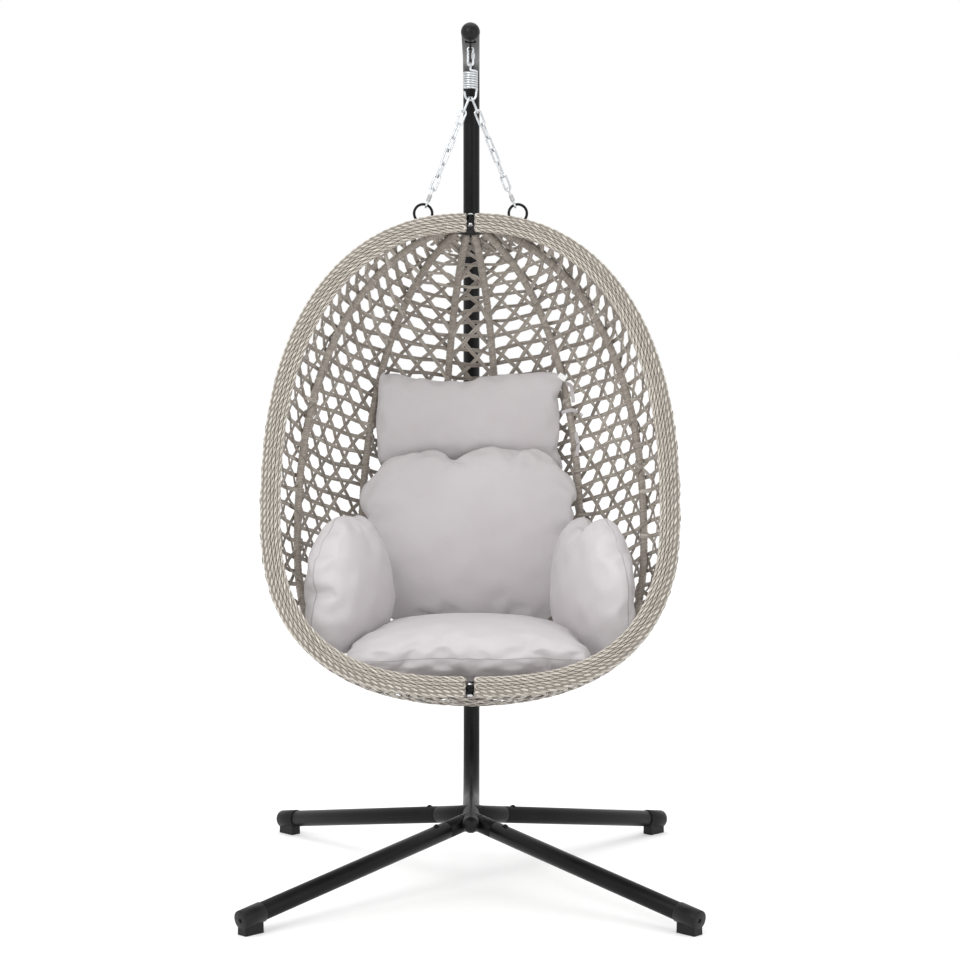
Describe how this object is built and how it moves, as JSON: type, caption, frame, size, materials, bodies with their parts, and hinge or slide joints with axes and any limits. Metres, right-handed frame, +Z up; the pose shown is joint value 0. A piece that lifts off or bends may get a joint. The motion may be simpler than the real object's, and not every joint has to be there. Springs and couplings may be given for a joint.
{
  "type": "hanging egg chair",
  "caption": "Egg-shaped woven basket seat with cushions, hung by chains and a coil spring from a C-shaped steel stand on splayed legs.",
  "frame": {"origin": "on the floor, at the centre of the whole chair's footprint", "axes": "+Z up, -Y towards the basket's open front, +X towards the right of somebody facing the chair"},
  "size_m": [1.0002, 1.0949, 1.9495],
  "materials": {
    "black_powder_coat": "satin",
    "black_plastic": "satin",
    "screw_steel": "satin",
    "zinc_plate": "satin",
    "braided_band": "satin",
    "wrapped_rib": "satin",
    "cane_weave": "satin",
    "cushion_cloth": "matte"
  },
  "bodies": {
    "stand": {"arm_cap": "black_plastic", "foot_cap_front_left": "black_plastic", "foot_cap_front_right": "black_plastic", "foot_cap_rear_left": "black_plastic", "foot_cap_rear_right": "black_plastic", "hub_cap": "black_plastic", "leg_front_left": "black_powder_coat", "leg_front_right": "black_powder_coat", "leg_rear_left": "black_powder_coat", "leg_rear_right": "black_powder_coat", "leg_screw_front_left": "screw_steel", "leg_screw_front_right": "screw_steel", "leg_screw_rear_left": "screw_steel", "leg_screw_rear_right": "screw_steel", "pole_bolt": "screw_steel", "pole_lower": "black_powder_coat", "pole_upper": "black_powder_coat"},
    "top_link": {"quick_link_top": "zinc_plate"},
    "spring_top": {"spring_coil": "zinc_plate", "spring_hook_top": "zinc_plate"},
    "spring_bottom": {"spring_hook_bottom": "zinc_plate"},
    "chains": {"chain_left_1": "zinc_plate", "chain_left_2": "zinc_plate", "chain_left_3": "zinc_plate", "chain_left_4": "zinc_plate", "chain_left_5": "zinc_plate", "chain_left_6": "zinc_plate", "chain_left_7": "zinc_plate", "chain_right_1": "zinc_plate", "chain_right_2": "zinc_plate", "chain_right_3": "zinc_plate", "chain_right_4": "zinc_plate", "chain_right_5": "zinc_plate", "chain_right_6": "zinc_plate", "chain_right_7": "zinc_plate", "end_link_left": "zinc_plate", "end_link_right": "zinc_plate", "ring_left": "black_powder_coat", "ring_right": "black_powder_coat"},
    "basket": {"basket_weave": "cane_weave", "cushion_arm_left": "cushion_cloth", "cushion_arm_right": "cushion_cloth", "cushion_back": "cushion_cloth", "cushion_head": "cushion_cloth", "cushion_seat": "cushion_cloth", "hinge_bolt_bottom": "zinc_plate", "hinge_bolt_top": "zinc_plate", "rib_hub_bottom": "black_powder_coat", "rib_hub_top": "black_powder_coat", "rib_left_1": "wrapped_rib", "rib_left_2": "wrapped_rib", "rib_left_3": "wrapped_rib", "rib_right_1": "wrapped_rib", "rib_right_2": "wrapped_rib", "rib_right_3": "wrapped_rib", "rim_band_left": "braided_band", "rim_band_right": "braided_band", "rim_tube_left": "black_powder_coat", "rim_tube_right": "black_powder_coat"}
  },
  "joints": [
    {"name": "swing_fore_aft", "type": "hinge", "parent": "stand", "child": "top_link", "pos_m": [0, -0.1867, 1.899], "axis": [1, 0, 0], "range_deg": [-14, 3.5]},
    {"name": "swing_sideways", "type": "hinge", "parent": "top_link", "child": "spring_top", "pos_m": [0, -0.1867, 1.8643], "axis": [0, 1, 0], "range_deg": [-12, 12]},
    {"name": "spring_bounce", "type": "slide", "parent": "spring_top", "child": "spring_bottom", "axis": [0, 0, 1], "range_m": [-0.035, 0.0005], "stiffness_N_per_m": 30000, "springref_m": 0.00946, "deforming": ["spring_coil"]},
    {"name": "basket_twist", "type": "hinge", "parent": "spring_bottom", "child": "chains", "pos_m": [0, -0.1867, 1.783], "axis": [0, 0, 1], "range_deg": [-10, 10]},
    {"name": "basket_rock", "type": "hinge", "parent": "chains", "child": "basket", "pos_m": [0, -0.1867, 1.51644], "axis": [1, 0, 0], "range_deg": [-12, 8]}
  ]
}
